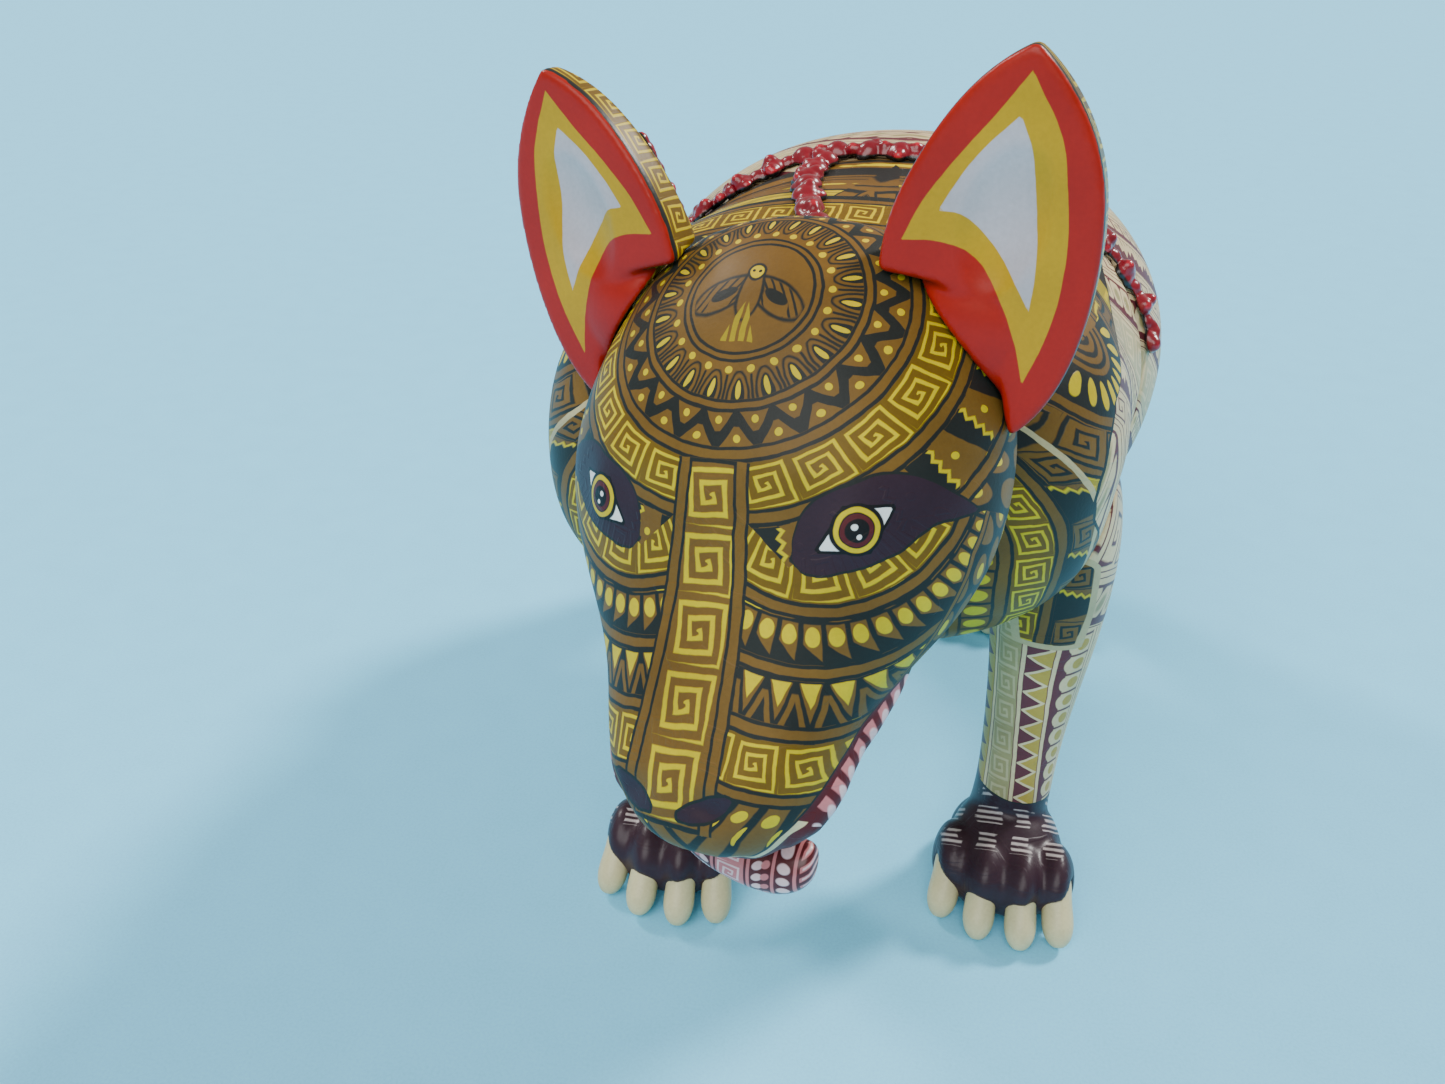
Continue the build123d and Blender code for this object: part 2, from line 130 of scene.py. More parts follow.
EVERYWHERE = 1.0  # a mask that covers the whole piece
HIDDEN = -9.0  # well outside an outline, for the far side of a piece


def srgb(r, g, b):
    """A paint colour as linear values, from the usual 0-255 ones."""
    return tuple(((c / 255 + 0.055) / 1.055) ** 2.4 if c > 10 else c / 255 / 12.92 for c in (r, g, b))


BROWN = srgb(112, 80, 30)
OLIVE = srgb(108, 80, 14)
CHARCOAL = srgb(34, 36, 33)
YELLOW = srgb(206, 178, 0)
MUSTARD = srgb(160, 138, 20)
RED = srgb(166, 26, 12)
EAR_YELLOW = srgb(190, 142, 0)
EAR_PALE = srgb(188, 174, 176)
AUBERGINE = srgb(50, 32, 42)
CREAM = srgb(216, 192, 146)
BEIGE = srgb(186, 170, 126)
SAND = srgb(158, 144, 96)
MAROON = srgb(98, 42, 48)
OCHRE = srgb(178, 146, 58)
PINK = srgb(196, 118, 120)
PALE_PINK = srgb(226, 192, 194)
DARK_MAROON = srgb(84, 28, 32)
CLAW = srgb(202, 194, 150)
CRIMSON = srgb(178, 28, 44)
WHITE = srgb(238, 236, 230)
BLACK = srgb(22, 20, 20)
WOOD = srgb(196, 160, 112)
PAW_GREY = srgb(178, 168, 168)
# crest crimsons: painted shade for the hollows between the beads, painted highlight for the bead tops
CRIMSON_PAINTED_SHADE = srgb(128, 14, 30)
CRIMSON_PAINTED_HIGHLIGHT = srgb(214, 60, 74)
FLOOR_BLUE = srgb(128, 216, 255)


# ---------- frames
def unit(v):
    """The same direction, one long."""
    return np.asarray(v, float) / np.linalg.norm(v)


def head_axes():
    """The head's own left, back and crown directions, in stance coordinates."""
    z = np.array([0.0, 0.0, 1.0])
    ahead = np.array([math.sin(HEAD_YAW), -math.cos(HEAD_YAW), 0.0])
    side = np.array([math.cos(HEAD_YAW), math.sin(HEAD_YAW), 0.0])
    top = ahead * math.sin(HEAD_PITCH) + z * math.cos(HEAD_PITCH)
    left = side * math.cos(HEAD_ROLL) + top * math.sin(HEAD_ROLL)
    crown = top * math.cos(HEAD_ROLL) - side * math.sin(HEAD_ROLL)
    return left, np.cross(crown, left), crown


HEAD_LEFT, HEAD_BACK, HEAD_CROWN = head_axes()


def to_head(p):
    """Stance points as (side, towards the nose, towards the crown)."""
    q = p - HEAD_CENTRE
    return np.stack([q @ HEAD_LEFT, -(q @ HEAD_BACK), q @ HEAD_CROWN], -1)


def ear_axes(sign):
    """The ear's origin, its length, outward and face directions, in the head frame used by to_head()."""
    up = unit(EAR_AXIS)
    face = unit(np.array(EAR_FACE) - np.dot(EAR_FACE, up) * up)
    out = np.cross(up, face)
    flip = np.array([sign, -1.0, 1.0])
    return np.array(EAR_ROOT) * flip, up * flip, out * flip, face * flip


# ---------- carved blocks as distance fields
class Block:
    """A CAD node held as distances on a grid: negative inside, in stance millimetres."""

    def __init__(self, node, step, reach=9):
        self.node, self.step, self.reach = node, step, reach * step
        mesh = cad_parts[node].data
        co = np.zeros(len(mesh.vertices) * 3, np.float32)
        mesh.vertices.foreach_get("co", co)
        mesh.calc_loop_triangles()
        tris = np.zeros(len(mesh.loop_triangles) * 3, np.int32)
        mesh.loop_triangles.foreach_get("vertices", tris)
        points = co.reshape(-1, 3) / MM - (0, STANCE_SHIFT, 0)
        grid = vdb.FloatGrid.createLevelSetFromPolygons(
            points.astype(np.float32), triangles=tris.reshape(-1, 3).astype(np.uint32),
            transform=vdb.createLinearTransform(voxelSize=step), halfWidth=float(reach))
        low, high = grid.evalActiveVoxelBoundingBox()
        self.low = np.array(low) - 1
        self.field = np.zeros([high[i] - low[i] + 3 for i in range(3)], np.float32)
        grid.copyToArray(self.field, ijk=tuple(int(i) for i in self.low))

    def points(self):
        """Every grid point, in stance coordinates."""
        axes = [(np.arange(n) + self.low[i]) * self.step for i, n in enumerate(self.field.shape)]
        return np.stack(np.meshgrid(*axes, indexing="ij"), -1)

    def soften(self, times):
        """Rounds edges a little, as sanding and gesso do."""
        for _ in range(times):
            for axis in range(3):
                f = self.field
                self.field = (np.roll(f, 1, axis) + 2 * f + np.roll(f, -1, axis)) / 4
        return self

    def near(self, p):
        """The distance at any points, from the eight grid points about each."""
        q = p / self.step - self.low
        q = np.clip(q, 0, np.array(self.field.shape) - 1.001)
        i = q.astype(int)
        t = q - i
        total = 0
        for corner in range(8):
            d = np.array([corner & 1, corner >> 1 & 1, corner >> 2 & 1])
            w = np.prod(np.where(d, t, 1 - t), -1)
            j = i + d
            total = total + w * self.field[j[..., 0], j[..., 1], j[..., 2]]
        return total

    def mesh(self, name, body, material, slot):
        """The finished surface as an object that rides on its body and replaces the node."""
        grid = vdb.FloatGrid(background=self.reach)
        grid.transform = vdb.createLinearTransform(voxelSize=self.step)
        grid.copyFromArray(self.field, ijk=tuple(int(i) for i in self.low))
        points, quads = grid.convertToQuads(isovalue=0.0)
        points = np.asarray(points, float)
        faces = np.asarray(quads).astype(int)
        corner = points[faces]
        volume = (corner[:, 0] * np.cross(corner[:, 1] - corner[:, 3], corner[:, 2] - corner[:, 0])).sum()
        if volume < 0:
            faces = faces[:, ::-1]
        mesh = bpy.data.meshes.new(name)
        mesh.from_pydata(((points + (0, STANCE_SHIFT, 0)) * MM).tolist(), [], faces.tolist())
        mesh.shade_smooth()
        mesh.update()
        obj = bpy.data.objects.new(name, mesh)
        bpy.context.scene.collection.objects.link(obj)
        mesh.materials.append(material)
        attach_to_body(obj, body)
        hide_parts(self.node)
        return obj, points


def normals(obj):
    """The direction each point of a piece faces."""
    out = np.zeros(len(obj.data.vertices) * 3, np.float32)
    obj.data.vertices.foreach_get("normal", out)
    return out.reshape(-1, 3)


def attach(obj, name, *columns):
    """Stores up to three smooth numbers per point for the paint to read."""
    n = len(obj.data.vertices)
    cols = [np.broadcast_to(np.asarray(c, float), (n,)) for c in columns]
    cols += [np.zeros(n)] * (3 - len(cols))
    data = np.stack(cols, -1).astype(np.float32)
    obj.data.attributes.new(name, "FLOAT_VECTOR", "POINT").data.foreach_set("vector", data.ravel())


def bump_at(p, centre, size, height):
    """A soft mound that raises (or, below zero, sinks) a surface."""
    d2 = (((p - centre) / size) ** 2).sum(-1)
    return -height * np.exp(-d2)


def polygon_distance(u, v, outline):
    """Distance inside (positive) or outside (negative) a closed outline."""
    pts = np.array(outline, float)
    best = np.full(u.shape, 1e9)
    inside = np.zeros(u.shape, bool)
    for a, b in zip(pts, np.roll(pts, -1, 0)):
        e = b - a
        t = np.clip(((u - a[0]) * e[0] + (v - a[1]) * e[1]) / (e @ e), 0, 1)
        best = np.minimum(best, np.hypot(u - a[0] - t * e[0], v - a[1] - t * e[1]))
        crosses = (a[1] > v) != (b[1] > v)
        with np.errstate(divide="ignore", invalid="ignore"):
            inside ^= crosses & (u < a[0] + (v - a[1]) * e[0] / (e[1] if e[1] else TINY))
    return np.where(inside, best, -best)


def smooth_curve(x, knots):
    """A flowing line through a few points."""
    kx, ky = np.array(knots, float).T
    slope = np.gradient(ky, kx)
    i = np.clip(np.searchsorted(kx, x) - 1, 0, len(kx) - 2)
    h = kx[i + 1] - kx[i]
    t = np.clip((x - kx[i]) / h, 0, 1)
    return ((2 * t ** 3 - 3 * t ** 2 + 1) * ky[i] + (t ** 3 - 2 * t ** 2 + t) * h * slope[i]
            + (3 * t ** 2 - 2 * t ** 3) * ky[i + 1] + (t ** 3 - t ** 2) * h * slope[i + 1])


def ear_outline(outer, root, inner):
    """A closed run of points round a three-sided shape on the ear, tip first."""
    up = np.linspace(outer[-1][0], outer[0][0], 24)
    out = np.linspace(root[-1][0], root[0][0], 16)[1:]
    rise = np.linspace(inner[0][0], inner[-1][0], 18)[1:-1]
    return (list(zip(up, smooth_curve(up, outer))) + list(zip(smooth_curve(out, root), out))
            + list(zip(rise, smooth_curve(rise, inner))))


def rounded(outline):
    """A closed outline with its corners cut."""
    pts = np.array(outline, float)
    following = np.roll(pts, -1, 0)
    return np.stack([0.75 * pts + 0.25 * following, 0.25 * pts + 0.75 * following], 1).reshape(-1, 2)


# ---------- paint: small shader arithmetic
class Num:
    """A number in a material's node graph."""

    def __init__(self, paint, socket):
        self.paint, self.socket = paint, socket

    def __add__(self, other):
        return self.paint.math("ADD", self, other)

    def __sub__(self, other):
        return self.paint.math("SUBTRACT", self, other)

    def __rsub__(self, other):
        return self.paint.math("SUBTRACT", other, self)

    def __mul__(self, other):
        return self.paint.math("MULTIPLY", self, other)

    def __truediv__(self, other):
        return self.paint.math("DIVIDE", self, other)

    def __abs__(self):
        return self.paint.math("ABSOLUTE", self)

    __radd__, __rmul__ = __add__, __mul__


class Paint:
    """One painted finish: layers of colour over a ground, on shared coordinates."""

    def __init__(self, name, ground, wobble=0.35):
        self.mat = bpy.data.materials.new(name)
        self.mat.use_nodes = True
        self.tree = self.mat.node_tree
        self.tree.nodes.clear()
        self.bsdf = self.node("ShaderNodeBsdfPrincipled")
        out = self.node("ShaderNodeOutputMaterial")
        self.join(self.bsdf.outputs["BSDF"], out.inputs["Surface"])
        self.place = self.node("ShaderNodeTexCoord").outputs["Object"]
        self.hand = self.noise(160.0, 2.0)
        self.wobble = wobble
        self.colour = self.node("ShaderNodeRGB").outputs[0]
        self.colour.default_value = (*ground, 1)
        self.raised = None

    def node(self, kind, **settings):
        """Adds a shader node."""
        n = self.tree.nodes.new(kind)
        for key, value in settings.items():
            setattr(n, key, value)
        return n

    def join(self, source, target):
        self.tree.links.new(source, target)

    def feed(self, value, target):
        """Gives an input either a number worked out by the graph or a plain one."""
        if isinstance(value, Num):
            self.join(value.socket, target)
        else:
            target.default_value = value

    def math(self, op, a, b=None, c=None, clamp=False):
        n = self.node("ShaderNodeMath", operation=op, use_clamp=clamp)
        for i, value in enumerate((a, b, c)):
            if value is not None:
                self.feed(value, n.inputs[i])
        return Num(self, n.outputs[0])

    def noise(self, scale, detail=2.0, stretch=None):
        n = self.node("ShaderNodeTexNoise")
        n.inputs["Scale"].default_value = scale
        n.inputs["Detail"].default_value = detail
        source = self.place
        if stretch:
            m = self.node("ShaderNodeMapping")
            m.inputs["Scale"].default_value = stretch
            self.join(source, m.inputs["Vector"])
            source = m.outputs[0]
        self.join(source, n.inputs["Vector"])
        return n

    def read(self, name):
        """The three numbers attached to the piece under a name, with a hand's unsteadiness."""
        n = self.node("ShaderNodeAttribute", attribute_name=name)
        shake = self.node("ShaderNodeVectorMath", operation="MULTIPLY_ADD")
        self.join(self.hand.outputs["Color"], shake.inputs[0])
        shake.inputs[1].default_value = (2 * self.wobble,) * 3
        lift = self.node("ShaderNodeVectorMath", operation="SUBTRACT")
        self.join(n.outputs["Vector"], lift.inputs[0])
        lift.inputs[1].default_value = (self.wobble,) * 3
        self.join(lift.outputs[0], shake.inputs[2])
        split = self.node("ShaderNodeSeparateXYZ")
        self.join(shake.outputs[0], split.inputs[0])
        return [Num(self, split.outputs[i]) for i in range(3)]

    # masks: 0 or 1, with a soft edge
    def below(self, x, edge, soft=0.18):
        if isinstance(edge, Num):
            return self.math("MULTIPLY_ADD", edge - x, 1 / soft, 0.5, clamp=True)
        return self.math("MULTIPLY_ADD", x, -1 / soft, edge / soft + 0.5, clamp=True)

    def above(self, x, edge, soft=0.18):
        if isinstance(edge, Num):
            return self.math("MULTIPLY_ADD", x - edge, 1 / soft, 0.5, clamp=True)
        return self.math("MULTIPLY_ADD", x, 1 / soft, 0.5 - edge / soft, clamp=True)

    def line(self, x, centre, width, soft=0.18):
        """A stripe about a value."""
        return self.below(abs(x - centre), width / 2, soft)

    def between(self, x, low, high, soft=0.18):
        return self.line(x, (low + high) / 2, high - low, soft)

    def dot(self, u, v, cu, cv, ru, rv, soft=0.12):
        """An oval spot at (cu, cv)."""
        x = (u - cu) / ru
        y = (v - cv) / rv
        return self.below(self.length(x, y), 1.0, soft)

    def length(self, x, y):
        return self.math("SQRT", self.math("MULTIPLY_ADD", x, x, y * y))

    def angle(self, y, x):
        return self.math("ARCTAN2", y, x)

    def cells(self, u, size, shift=0.0):
        """Position inside a repeating cell, from -0.5 to 0.5."""
        return self.math("FRACT", self.math("MULTIPLY_ADD", u, 1 / size, shift)) - 0.5

    def most(self, a, b):
        return self.math("MAXIMUM", a, b)

    def least(self, a, b):
        return self.math("MINIMUM", a, b)

    def over(self, mask, colour, raised=False):
        """Lays a colour over what is there."""
        mix = self.node("ShaderNodeMix", data_type="RGBA", clamp_factor=True)
        self.feed(mask, mix.inputs[0])
        self.join(self.colour, mix.inputs[6])
        mix.inputs[7].default_value = (*colour, 1)
        self.colour = mix.outputs[2]
        if raised:
            self.raised = mask if self.raised is None else self.most(self.raised, mask)

    def gold(self, mask):
        """Raised yellow lines and dots."""
        self.over(mask, YELLOW, raised=True)

    # bands
    def band(self, x, low, high, zone, colour):
        """A flat stripe. Returns its mask."""
        mask = self.between(x, low, high) * zone
        self.over(mask, colour)
        return mask

    def rules(self, x, pairs, zone, *settings):
        """A plain stripe for each pair of limits."""
        for low, high in pairs:
            self.rule(x, low, high, zone, *settings)

    def rule(self, x, low, high, zone, colour=BROWN, edge=CHARCOAL, rim=0.95):
        """A plain stripe with a thin dark line on both sides."""
        self.band(x, low - rim, high + rim, zone, edge)
        self.band(x, low, high, zone, colour)

    def spiral(self, a, b, zone, colour, turns=2.6, weight=0.36, fill=0.94):
        """A square spiral inside the cell a, b (each -0.5 to 0.5)."""
        ring = self.most(abs(a), abs(b)) * 2
        turn = self.angle(b, a) / (2 * math.pi)
        wave = self.math("FRACT", self.math("MULTIPLY_ADD", ring, turns, 0.25) - turn)
        mask = self.below(abs(wave - 0.5), weight / 2, 0.10) * self.below(ring, fill, 0.04) * zone
        self.over(mask, colour, raised=True)

    def fret(self, u, v, low, high, cell, zone, ground=OLIVE, colour=YELLOW, turns=2.6, shift=0, weight=0.36):
        """A band of square spirals."""
        band = self.band(v, low, high, zone, ground)
        a = self.cells(u, cell, shift)
        b = (v - (low + high) / 2) / (high - low)
        self.spiral(a, b, band, colour, turns, weight)

    def finish(self, rough=0.46, sheen=0.04, grain=(1, 1, 1), relief=0.25, fade=0.16):
        """Brush marks, worn spots, satin varnish and the paint's slight thickness."""
        blot = self.noise(45.0, 4.0)
        fine = self.noise(900.0, 3.0, grain)
        tone = self.node("ShaderNodeMapRange")
        self.join(blot.outputs["Fac"], tone.inputs["Value"])
        tone.inputs["From Min"].default_value, tone.inputs["From Max"].default_value = 0.3, 0.7
        tone.inputs["To Min"].default_value, tone.inputs["To Max"].default_value = 1 - fade, 1 + fade
        streak = self.math("MULTIPLY_ADD", Num(self, fine.outputs["Fac"]), 0.24, 0.88)
        shade = self.node("ShaderNodeVectorMath", operation="SCALE")
        self.join(self.colour, shade.inputs[0])
        self.feed(Num(self, tone.outputs[0]) * streak, shade.inputs["Scale"])
        self.join(shade.outputs[0], self.bsdf.inputs["Base Color"])
        gloss = self.math("MULTIPLY_ADD", Num(self, blot.outputs["Fac"]), 0.22, rough - 0.11)
        self.feed(gloss, self.bsdf.inputs["Roughness"])
        height = Num(self, fine.outputs["Fac"]) * 0.35
        if self.raised is not None:
            height = height + self.raised * 0.9
        bump = self.node("ShaderNodeBump")
        bump.inputs["Strength"].default_value = relief
        bump.inputs["Distance"].default_value = 0.0006
        self.feed(height, bump.inputs["Height"])
        self.join(bump.outputs[0], self.bsdf.inputs["Normal"])
        varnish = {"Coat Weight": sheen, "Coat Roughness": 0.28, "IOR": 1.45, "Specular IOR Level": 0.22}
        for socket, value in varnish.items():
            self.bsdf.inputs[socket].default_value = value
        return self.mat


def plain(name, colour, rough=0.5, sheen=0.0, stretch=(1, 1, 1), fade=0.16, relief=0.3):
    """A finish of one colour."""
    return Paint(name, colour).finish(rough, sheen, stretch, relief, fade)


# ---------- shared dark and gold patterns
def panels(p, u, v, low, high, cell, zone, shift=0.0, dot=1.1):
    """Brown panels with one dot, cut by black steps with a yellow zigzag edge."""
    band = p.band(v, low, high, zone, BROWN)
    a = p.cells(u, cell, shift)
    b = (v - (low + high) / 2) / (high - low)
    teeth = abs(p.cells(b * 4, 1)) * (2.8 / cell)
    edge = a + (teeth + b * 0.12)
    p.over(p.below(edge, 0.04, 0.02) * p.above(a - b * 0.14, -0.44, 0.02) * band, CHARCOAL)
    p.gold(p.line(edge, 0, 1.15 / cell, 0.03) * band * p.below(abs(b), 0.46, 0.02))
    p.gold(p.dot(a * cell, b * (high - low), 0.26 * cell, 0, dot, dot) * band)


def tabs(p, u, v, low, high, cell, zone):
    """Brown blades with yellow ovals on black."""
    band = p.band(v, low, high, zone, CHARCOAL)
    width = high - low
    a = p.cells(u, cell)
    b = (v - low) / width
    blade = p.below(abs(a), 0.38, 0.05) * p.below(b - a * 0.5, 0.72, 0.03) * p.above(b, 0.07, 0.03)
    p.over(blade * band, BROWN)
    p.gold(p.dot(a * cell, b * width, 0, 0.36 * width, 0.32 * cell, 2.4) * band)


def fangs(p, u, v, low, high, cell, zone):
    """Yellow points hanging into brown chevrons on black."""
    band = p.band(v, low, high, zone, CHARCOAL)
    a = abs(p.cells(u, cell))
    b = (v - low) / (high - low)
    c = 0.5 - a
    chevron = p.line(c - b * 0.40, -0.10, 0.17, 0.03) * p.above(b, 0.30, 0.04)
    p.over(chevron * band, BROWN)
    p.over(p.below(a + b * 0.46, 0.42, 0.03) * p.above(b, 0.05, 0.03) * band, BROWN)
    p.gold(p.below(a + b * 0.62, 0.38, 0.03) * p.above(b, 0.05, 0.03) * band)


def leaves(p, u, v, cell, row, zone):
    """Brown leaves on black, every other row with a yellow drop."""
    p.over(zone, CHARCOAL)
    b = p.cells(v, row)
    n = p.math("FLOOR", v / row)
    a = p.cells(u + n * (cell * 0.5), cell)
    body = p.length(a * 2.3, b * (1.9 - a * 1.2))
    p.over(p.below(body, 0.86, 0.06) * zone, BROWN)
    odd = p.above(abs(p.cells(n, 2)), 0.25, 0.1)
    p.gold(p.below(p.length(a * 3.4, b * 2.6), 0.62, 0.06) * zone * odd)


# ---------- head
def patch_field(a, b):
    """Distance inside the dark patch round the eye."""
    ends = np.minimum(a - PATCH_TOP[0][0], PATCH_TOP[-1][0] - a)
    return np.minimum(np.minimum(smooth_curve(a, PATCH_TOP) - b, b - smooth_curve(a, PATCH_FOOT)), ends)


def ridge_drift(nose):
    """How far the painted ridge has wandered to the figure's right, this far along the nose."""
    return 0.0008 * np.clip(nose - 17.0, 0, None) ** 2


def laid_flat(q):
    """Points about a centre, moved into the plane of the first two directions at their true distance."""
    flat = np.hypot(q[:, 0], q[:, 1]) + TINY
    far = np.linalg.norm(q, axis=1)
    return q[:, 0] / flat * far, q[:, 1] / flat * far


def head_marks(obj, points):
    """Tells the paint where the medallion, cheeks, eyes, ridge, nostrils and mouth are."""
    h = to_head(points)
    side, nose, crown = np.abs(h[:, 0]), h[:, 1], h[:, 2]
    mirrored = np.stack([side, nose, crown], 1)
    attach(obj, "head", side, nose, crown)
    attach(obj, "ring", *laid_flat(h - MEDALLION))
    attach(obj, "cheek", *laid_flat(mirrored - CHEEK), nose - np.interp(side, *BROW_EDGE))
    a, b = (mirrored - IRIS) @ EYE_LONG, (mirrored - IRIS) @ EYE_UP
    attach(obj, "eye", a, b, np.where(crown > 5, patch_field(a, b), HIDDEN))
    x = h[:, 0] + ridge_drift(nose)
    half = np.clip(RIDGE_HALF + 0.055 * (nose - 20.0), RIDGE_HALF, RIDGE_HALF_MOST)
    attach(obj, "ridge", x, nose, np.abs(x) - half)
    lobe = polygon_distance(np.abs(x), nose, rounded(NOSTRIL))
    attach(obj, "mouth", crown - np.interp(nose, *MOUTH_EDGE), np.where(crown > 8, lobe, HIDDEN))


def paint_cheek(p, nose, crown):
    """Arcs round each cheek, with leaves on the throat. Returns a mask of what is above the brow."""
    cx, cy, brow = p.read("cheek")
    reach = p.length(cx, cy)
    bearing = p.angle(cx, cy)
    low = p.above(brow, 0)
    leaves(p, crown, nose + crown * 0.4, 11, 7.5, low)
    height = crown + p.most(nose - 28, 0) * 0.25
    zone = low * p.above(height, CHEEK_FOOT) * p.above(reach, 20)
    p.fret(bearing * 28, reach, 20, 34.6, 12.2, zone, shift=0.2)
    tabs(p, bearing * 45, reach, 39, 49.4, 5.6, zone)
    fangs(p, bearing * 58, reach, 53.6, 64.6, 7, zone)
    p.fret(bearing * 75, reach, 69, 81.6, 11.2, zone, shift=0.15)
    far = zone * p.above(reach, 84)
    p.over(far, CHARCOAL)
    slant = p.cells(bearing * 85 + reach * 0.5, 6.4)
    p.over(p.below(abs(slant), 0.34, 0.05) * far * p.above(reach, 85.5), BROWN)
    p.gold(p.dot(slant * 6.4, reach, 0, 89, 1.5, 1.9) * far)
    p.gold(p.dot(slant * 6.4, reach, 3, 94.5, 0.9, 3) * far)
    p.rules(reach, ((35.6, 37.8), (50.4, 52.6), (65.6, 67.9), (82.4, 84.4)), zone)
    p.over(p.line(height, CHEEK_FOOT, 2.6) * low, CHARCOAL)
    p.over(p.line(height, CHEEK_FOOT, 1.3) * low, BROWN)
    return p.below(brow, 0)


def paint_crown(p, high):
    """Rings about the medallion: leaves, panels, square spirals, a folded ribbon and arches."""
    rx, ry, _ = p.read("ring")
    r = p.length(rx, ry)
    t = p.angle(rx, ry)
    leaves(p, t * 62, r, 8, 11, high * p.above(r, 56))
    panels(p, t * 62, r, 57.5, 69, 13.6, high, 0.1, 0.95)
    p.rules(r, ((70, 72.2), (54.2, 56.4)), high)
    p.fret(t * 48, r, 42.6, 53.4, 13.7, high, shift=0.5)
    p.rule(r, 39.6, 41.6, high)
    band = p.band(r, 30.6, 38.8, high, BROWN)
    a = p.cells(t * 35, 10)
    fold = p.least(p.most(abs(a) * 4 - 1, -0.72), 0.72) * 0.42
    p.over(p.below(abs((r - 34.7) / 8.2 - fold), 0.235, 0.03) * band, CHARCOAL)
    p.gold(p.dot(a * 10, r, 0, 36.9, 0.95, 0.95) * band)
    a = p.cells(t * 35, 10, 0.5)
    p.gold(p.dot(a * 10, r, 0, 32.5, 0.95, 0.95) * band)
    p.rule(r, 28.4, 29.8, high)
    band = p.band(r, 18.2, 27.6, high, BROWN)
    a = p.cells(t * 11 / math.pi, 1)
    arch = p.above(r, 20.4)
    for width, height, colour in ((0.41, 6.4, CHARCOAL), (0.32, 5.6, BROWN), (0.22, 4.4, CHARCOAL)):
        p.over(p.dot(a, r, 0, 26.6, width, height) * band * arch, colour)
    p.gold(p.dot(a, r, 0, 25.2, 0.095, 2.3) * band)
    a = p.cells(t * 11 / math.pi, 1, 0.5)
    p.over(p.line(a, 0, 0.10, 0.04) * band * p.above(r, 21.6), CHARCOAL)
    p.gold(p.dot(a * 5.7, r, 0, 20.3, 0.95, 0.95) * band)
    p.over(p.below(r, 18.4), CHARCOAL)
    p.over(p.below(r, 17.6), BROWN)
    p.over(p.line(r, 16.2, 0.8), CHARCOAL)
    bird(p, rx, ry * -1)


def paint_ridge(p, crown):
    """A strip of square spirals down the nose, which grow towards its tip."""
    x, f, over_edge = p.read("ridge")
    above_lip = p.above(crown, 2)
    wide = above_lip * (p.above(f, RIDGE_START) * p.below(f, RIDGE_END))
    for margin, colour in ((4, CHARCOAL), (3.2, BROWN), (0.8, CHARCOAL)):
        p.over(p.below(over_edge, margin) * wide, colour)
    inner = p.below(over_edge, 0) * p.above(f, RIDGE_START + 1) * p.below(f, RIDGE_END - 1.4) * above_lip
    p.over(inner, BROWN)
    s = f - 17.5
    cell = p.cells(p.math("MULTIPLY_ADD", s * s, -0.0001196, s * 0.0671), 1)
    p.spiral(x / 17 * 1.06, cell, inner, YELLOW, 2.6, 0.40, 0.92)


def paint_muzzle(p, nose):
    """The striped pink lip and the dark nose leather."""
    lip, lobe, _ = p.read("mouth")
    muzzle = p.above(nose, 60)
    p.over(p.below(lip, 0.7) * muzzle, CHARCOAL)
    p.over(p.below(lip, 0) * muzzle, DARK_MAROON)
    gum = p.cells(nose + lip * 0.6, 5)
    p.band(lip, -2.2, -0.2, p.above(nose, 99), CREAM)
    p.over(p.below(abs(gum), 0.30, 0.08) * p.between(lip, -9.5, -1.6) * muzzle * p.below(nose, 96), PINK)
    p.over(p.dot(gum * 5, lip, 0, -5.8, 1.3, 2.4, 0.25) * p.below(nose, 100) * muzzle, PALE_PINK)
    p.over(p.above(lobe, -0.8), CHARCOAL)
    p.over(p.above(lobe, 0), AUBERGINE)


def paint_eye(p):
    """A dark patch, the white's two corners, a yellow ring, a dark iris and two glints."""
    a, b, shape = p.read("eye")
    p.over(p.above(shape, -0.7), CHARCOAL)
    p.over(p.above(shape, 0), AUBERGINE)
    eye = p.length(a, b)
    along = abs(a * 0.953 + b * 0.304)
    level = abs(b * 0.953 - a * 0.304)
    taper = level * 1.7 + along
    p.over(p.below(taper, 11.4, 0.3) * p.below(along, 10.4, 0.3), BLACK)
    p.over(p.below(taper, 9.9, 0.3) * p.below(along, 9.4, 0.3) * p.above(eye, 6.4, 0.3), WHITE)
    for radius, colour in ((6.2, BLACK), (5.4, YELLOW), (4.2, BLACK), (3.9, DARK_MAROON), (2.8, BLACK)):
        p.over(p.below(eye, radius, 0.25), colour)
    p.over(p.dot(a, b, -0.5, 1, 0.75, 0.75, 0.3), WHITE)
    p.over(p.dot(a, b, 0.1, -1.5, 0.62, 0.62, 0.3), WHITE)


def head_paint():
    """Golden patterns, with the eyes, the nose and the lips over them."""
    p = Paint("golden_head", BROWN, 0.5)
    _, nose, crown = p.read("head")
    high = paint_cheek(p, nose, crown)
    paint_crown(p, high)
    paint_ridge(p, crown)
    paint_muzzle(p, nose)
    paint_eye(p)
    return p.finish(0.48, 0.03)


